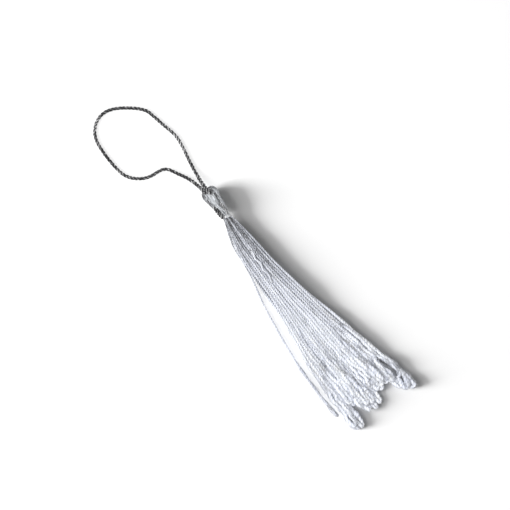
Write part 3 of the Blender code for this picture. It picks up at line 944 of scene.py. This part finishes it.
def add_skirt():
    """The strands in pairs, each with its loop: a stray pair, and four pieces from the back up."""
    runs, laid, ends, stray = lay_skirt()
    laid = stroked(runs, laid, ends, stray)
    lines = []
    kept = np.delete(np.arange(len(ends)), stray)
    shares = [[stray], *np.array_split(kept, len(SKIRT_PIECES))]
    for name, pairs in zip((STRAY_PIECE, *SKIRT_PIECES), shares):
        yarn = YarnMesh()
        for pair in pairs:
            body = STRAY_BODY if pair == stray else PLAIN_BODY
            usual = dict(run=ends[pair], half=LOOP_HALF_WIDTH * body["half"])
            loose = LOOSE_LOOPS.get(pair, usual)
            line = pair_line(laid, runs, pair, loose["run"], loose["half"])
            line = line + wander(len(line), **STRAND_WANDER)
            if pair == stray:
                line[:, 0] -= column(STRAY_AWAY, "run", run_of(line), "out")
            line[:, 0] += parted(line[:, 0], run_of(line), LOBE_OPENING, LOBE_REACH)
            crinkled = smoothstep((run_of(line) - CRINKLE_FROM) / (loose["run"] - CRINKLE_FROM))
            crinkle = wander(len(line), CRINKLE_REACH, body["crinkle"]) * np.array(CRINKLE)
            line = line + crinkle * crinkled[:, None]
            uneven = UNEVENNESS["above"] + (UNEVENNESS["hem"] - UNEVENNESS["above"]) * crinkled
            width = body_of(line, "width") * body["width"]
            width = width * (1 + wander(len(line), UNEVEN_REACH, 1.0, 1)[:, 0] * uneven)
            line[:, 2] = np.maximum(line[:, 2] + STRAND_LIFT * width, width / 2)
            lay = body_of(line, "lay") * rng.uniform(*LAY_RANGE)
            section = plied_section(2, STRAND_CORNERS, valley=body_of(line, "valley"))
            yarn.lay(line, width, section, lay, strand_tone(line) + body["tone"])
            add_filaments(yarn, line, width, loose["run"])
            lines.append(line)
        if name == SKIRT_PIECES[-1]:
            end = crimped_end(lines)
            yarn.lay(end, CRIMPED_WIDTH, STRAND_SECTION, CRIMPED_LAY, CRIMPED_TONE)
        piece = yarn.make(name, SILK)
        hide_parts("skein")
        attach(piece, "root")


add_skirt()


# ---- head

HEAD_OUTLINE = table(
    "y x z wide high",
    (0.35, -0.25, 2.45, 2.85, 2.50),
    (-1.00, -0.30, 2.42, 2.55, 2.42),
    (-2.70, -0.30, 2.38, 2.28, 2.28),
    (-4.20, -0.28, 2.34, 2.14, 2.12),
    (-5.70, -0.35, 2.28, 1.90, 1.90),
    (-6.60, -0.40, 2.24, 1.60, 1.60),
    (-7.20, -0.43, 2.20, 1.24, 1.24),
    (-8.40, -0.46, 2.20, 1.20, 1.20),
)
CROWN_HEIGHT = 2.65  # how far the crown stands beyond the widest part of the head
# share: distance from the middle of the head, as a share of its half size; crown, body: how
# far round from the front each arch of the layer stands, in degrees, at the top and below.
HEAD_LAYERS = table(
    "share crown body",
    (
        0.86,
        (17, 33, 49, 65, 81, 97, 113, 129, 146, 163),
        (11, 43, 58, 73, 88, 103, 118, 134, 151, 168),
    ),
    (0.58, (18, 38, 59, 80, 100, 121, 142, 162), (12, 34, 57, 79, 101, 124, 146, 168)),
    (0.29, (24, 50, 77, 103, 130, 156), (18, 46, 76, 104, 134, 162)),
)
LAYER_STEP = 0.28  # from one strand in the head to the next, as a share of its half size,
FOLD_FULLNESS = 1.02  # and a strand's width, as a share of that
FOLD_WANDER = dict(reach=10, size=0.04)
ARCH_STEP = 0.2
ARCH_TURN_STEP = 6  # degrees
CROWN_BLEND = 3.0
CROWN_SQUARENESS = 0.72  # 1 for a round crown
CROWN_DENT = dict(x=-0.75, half=0.75, deep=0.55)  # where the hanging cord comes through
# Painted shade on the folds: greyest at the left side of the head, and palest a little left of its
# middle.
HEAD_PAINTED_SHADE = table(
    "x tone",
    (-2.9, 1.35), (-2.1, 1.20), (-1.5, 0.75), (-0.3, 0.45), (0.3, 0.90), (0.8, 0.90),
    (1.3, 0.60), (2.4, 0.85),
)
FOLD_TONES = dict(span=0.5, middle=0.6)  # how much the tones of the folds differ
CROWN_TONE = 0.4  # how much greyer they are where they fold over the cord,
CROWN_TONE_OVER = 2.0  # and over what length that comes
HEAD_SPECKLES = dict(reach=2.2, size=0.22)
# The last turns, which fan out over the front of the head: their middle, and half their width.
FRONT_FAN = table(
    "y x half",
    (1.30, -0.85, 0.80), (-0.50, -0.50, 1.22), (-2.00, -0.70, 0.80), (-3.50, -0.80, 0.50),
    (-4.60, -0.40, 0.40), (-6.50, -0.20, 0.36), (-8.30, -0.05, 0.34),
)
FRONT_TOP = 1.2
FRONT_SLANT = 0.6  # the left of the fan begins this much higher than its middle
FRONT_TURNS = 7
FRONT_WIDTH = 0.5
FRONT_LIFT = 0.10
FRONT_CURL = 0.9  # how far its top curls down over the crown
FRONT_SOFTENING = 3.0
FRONT_WANDER = dict(reach=12, size=0.05)
FRONT_TONES = dict(least=0.15, span=0.6)
FRONT_SPECKLES = dict(reach=2.2, size=0.25)
ARCH_BOTTOM = -8.3
HEAD_LAY = 1.7


def head_size(y):
    """The middle of the head at y, as x and z, and its half width and half height."""
    return [column(HEAD_OUTLINE, "y", y, name) for name in ("x", "z", "wide", "high")]


def arch_line(share, crown, body):
    """A turn of the skein over the hanging cord: up the left side, over and down the right."""
    widest = HEAD_OUTLINE[0]["y"]
    y = np.arange(ARCH_BOTTOM, widest, ARCH_STEP)
    blend = smoothstep((widest - y) / CROWN_BLEND)
    angle = np.radians(crown + (body - crown) * blend)
    x, z, wide, high = head_size(y)
    sides = []
    for way in (-1, 1):
        across = x + way * share * wide * np.sin(angle)
        sides.append(np.stack([across, y, z + share * high * np.cos(angle)], axis=1))
    x, z, wide, high = head_size(widest)
    turn = np.radians(np.arange(0, 181, ARCH_TURN_STEP))
    reach = share * math.sin(math.radians(crown))
    cosine = np.cos(turn)
    across = x - reach * wide * np.sign(cosine) * np.abs(cosine) ** CROWN_SQUARENESS
    above = reach * CROWN_HEIGHT * np.sin(turn) ** CROWN_SQUARENESS
    dent = np.exp(-(((across - CROWN_DENT["x"]) / CROWN_DENT["half"]) ** 2))
    above = above - CROWN_DENT["deep"] * dent * np.sin(turn)
    height = z + share * high * math.cos(math.radians(crown))
    over = np.stack([across, widest + above, np.full(len(turn), height)], axis=1)
    line = np.concatenate([sides[0], over, sides[1][::-1]])
    return softened(evenly(line, STRAND_SPACING), TURN_SOFTENING)


def front_line(place):
    """One of the last turns, down the front of the head; place is -1 at the left of the fan."""
    top = FRONT_TOP - FRONT_SLANT * place
    y = np.arange(top, FRONT_FAN[-1]["y"], -STRAND_SPACING)
    middle, half = (column(FRONT_FAN, "y", y, name) for name in ("x", "half"))
    x, z, wide, high = head_size(y)
    across = middle + place * half
    height = z + high * np.sqrt(1 - ((across - x) / wide) ** 2) + FRONT_LIFT
    crown = np.clip((y - HEAD_OUTLINE[0]["y"]) / (top - HEAD_OUTLINE[0]["y"]), 0, 1)
    height = height - FRONT_CURL * crown**2
    return softened(np.stack([across, y, height], axis=1), FRONT_SOFTENING)


def add_head():
    """The folded top of the skein: arches in three layers, and the fan over their front."""
    yarn = YarnMesh()
    for layer in HEAD_LAYERS:
        for crown, body in zip(layer["crown"], layer["body"]):
            line = arch_line(layer["share"], crown, body)
            size = column(HEAD_OUTLINE, "y", line[:, 1], "wide")
            line = line + wander(len(line), **FOLD_WANDER)
            tone = column(HEAD_PAINTED_SHADE, "x", line[:, 0], "tone")
            tone = tone + FOLD_TONES["span"] * (rng.random() - FOLD_TONES["middle"])
            crown_share = smoothstep(line[:, 1] / CROWN_TONE_OVER)
            tone += CROWN_TONE * crown_share + speckles(line, **HEAD_SPECKLES)
            yarn.lay(line, LAYER_STEP * size * FOLD_FULLNESS, STRAND_SECTION, HEAD_LAY, tone)
    for place in np.linspace(-1, 1, FRONT_TURNS):
        line = front_line(place)
        line = line + wander(len(line), **FRONT_WANDER)
        tone = FRONT_TONES["least"] + FRONT_TONES["span"] * rng.random()
        tone = tone + speckles(line, **FRONT_SPECKLES)
        yarn.lay(line, FRONT_WIDTH, STRAND_SECTION, HEAD_LAY, tone)
    head = yarn.make("folded_head", HEAD_SILK)
    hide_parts("skein")
    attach(head, "root")


add_head()


# ---- cord ends and binding

# angle: how far round from the front of the head a cord end runs down it, in degrees; gleam: how
# much painted glint it has.
TAILS = dict(
    left=dict(angle=-44.0, width=1.5, gleam=0.4),
    right=dict(angle=27.0, width=0.7, gleam=1.2),
)
# It comes out from under the silk, and goes in again under the binding.
TAIL_ROUTE = table("y radius", (-3.50, 1.50), (-4.30, 2.12), (-7.20, 1.78), (-7.90, 1.00))
TAIL_SPACING = 0.12
TAIL_LAY = 2.6


def add_tails():
    """The two ends of the hanging cord, as far as they show on the neck."""
    for name, tail in TAILS.items():
        turn = math.radians(tail["angle"])
        points = []
        for row in TAIL_ROUTE:
            x, z, _, _ = head_size(row["y"])
            across, height = row["radius"] * math.sin(turn), row["radius"] * math.cos(turn)
            points.append((x + across, row["y"], z + height))
        line = smooth_path(points, TAIL_SPACING)
        yarn = YarnMesh()
        yarn.lay(line, tail["width"], CORD_SECTION, TAIL_LAY, tail["gleam"])
        end = yarn.make("cord_end_" + name, CORD)
        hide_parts("cord_tail_" + name)
        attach(end, "root")


THREAD_WIDTH = 0.42
THREAD_LAY = 1.5
BINDING_Y = (-7.85, -8.65)
BINDING_RADIUS = 1.43
BINDING_TURNS = 2.15
BINDING_STARTS = 3.6  # radians round from straight up
BINDING_POINTS = 200
BINDING_SPACING = 0.12
TUCK = 0.55  # how much deeper its ends lie
TUCKS = 6  # they rise from there in a turn divided by this
NECK_SLANT = 0.28


def add_binding():
    """Thread wound round the neck, with both ends tucked under."""
    share = np.linspace(0, 1, BINDING_POINTS)
    angle = BINDING_STARTS + share * BINDING_TURNS * 2 * math.pi
    y = BINDING_Y[0] + (BINDING_Y[1] - BINDING_Y[0]) * share
    risen = np.minimum(1, np.minimum(share, 1 - share) * BINDING_TURNS * TUCKS)
    radius = BINDING_RADIUS - TUCK * (1 - risen) ** 2
    x, z, _, _ = head_size(y)
    across = radius * np.sin(angle)
    line = np.stack([x + across, y - NECK_SLANT * across, z + radius * np.cos(angle)], axis=1)
    yarn = YarnMesh()
    yarn.lay(evenly(line, BINDING_SPACING), THREAD_WIDTH, STRAND_SECTION, THREAD_LAY)
    binding = yarn.make("wound_thread", THREAD)
    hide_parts("neck_binding")
    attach(binding, "root")


add_tails()
add_binding()


# ---- floor and light

FLOOR_SIZE = 3.0  # metres, as are the lamps' sizes and places
FLOOR_MOTTLE = 6.0
WORLD_LIGHT = 0.20


def floor_finish():
    """A plain pale floor, very faintly mottled."""
    floor = Finish("pale floor", Roughness=0.6)
    place = floor.node("ShaderNodeTexCoord", output=3)
    mottle = floor.noise(place, FLOOR_MOTTLE)
    floor.colour(floor.blend(mottle, (0.90, 0.90, 0.90), (0.93, 0.93, 0.93)))
    return floor.material


def add_floor():
    """The level surface that the tassel lies on."""
    bpy.ops.object.select_all(action="DESELECT")
    bpy.ops.mesh.primitive_plane_add(size=FLOOR_SIZE)
    floor = bpy.context.object
    floor.name = "floor"
    floor.data.materials.append(floor_finish())
    return floor


LIGHT_FROM = (-0.874, 0.487)  # across the floor, towards the key lamp


def add_lamp(name, distance, height, size, power):
    """A soft square lamp on the key side, which looks at the middle of the tassel."""
    data = bpy.data.lights.new(name, "AREA")
    data.size = size
    data.energy = power
    lamp = bpy.data.objects.new(name, data)
    bpy.context.scene.collection.objects.link(lamp)
    across = [VIEW_MIDDLE[k] * MM + distance * LIGHT_FROM[k] for k in range(2)]
    lamp.location = (*across, height)
    turn = math.atan2(LIGHT_FROM[1], LIGHT_FROM[0]) + math.pi / 2
    lamp.rotation_euler = (math.atan2(distance, height), 0, turn)
    return lamp


# What the low lamp throws its long shadow of: all but the hanging cord and the stray pair.
BULK = (*SKIRT_PIECES, "folded_head", "wound_thread", "cord_end_left", "cord_end_right")


def add_light(floor):
    """High lamps for the tassel, and low ones that only give the floor its long soft shadow."""
    high = [
        add_lamp("key", distance=0.60, height=0.66, size=0.30, power=5.3),
        add_lamp("softbox", distance=0.10, height=0.9, size=0.8, power=7.1),
    ]
    low = add_lamp("low", distance=1.60, height=0.43, size=0.75, power=80.0)
    wide = add_lamp("wide", distance=1.60, height=0.79, size=1.90, power=31.0)
    ground = bpy.data.collections.new("ground")
    ground.objects.link(floor)
    for lamp in (low, wide):
        lamp.light_linking.receiver_collection = ground
    bulk = bpy.data.collections.new("bulk of the tassel")
    for name in BULK:
        bulk.objects.link(bpy.data.objects[name])
    low.light_linking.blocker_collection = bulk
    all_else = bpy.data.collections.new("all but the ground")
    all_else.objects.link(floor)
    all_else.collection_objects[0].light_linking.link_state = "EXCLUDE"
    for lamp in high:
        lamp.light_linking.receiver_collection = all_else
    world = bpy.data.worlds.new("studio")
    world.use_nodes = True
    background = world.node_tree.nodes["Background"]
    background.inputs["Color"].default_value = (1, 1, 1, 1)
    background.inputs["Strength"].default_value = WORLD_LIGHT
    bpy.context.scene.world = world
    bpy.context.scene.view_settings.view_transform = "Standard"


add_light(add_floor())
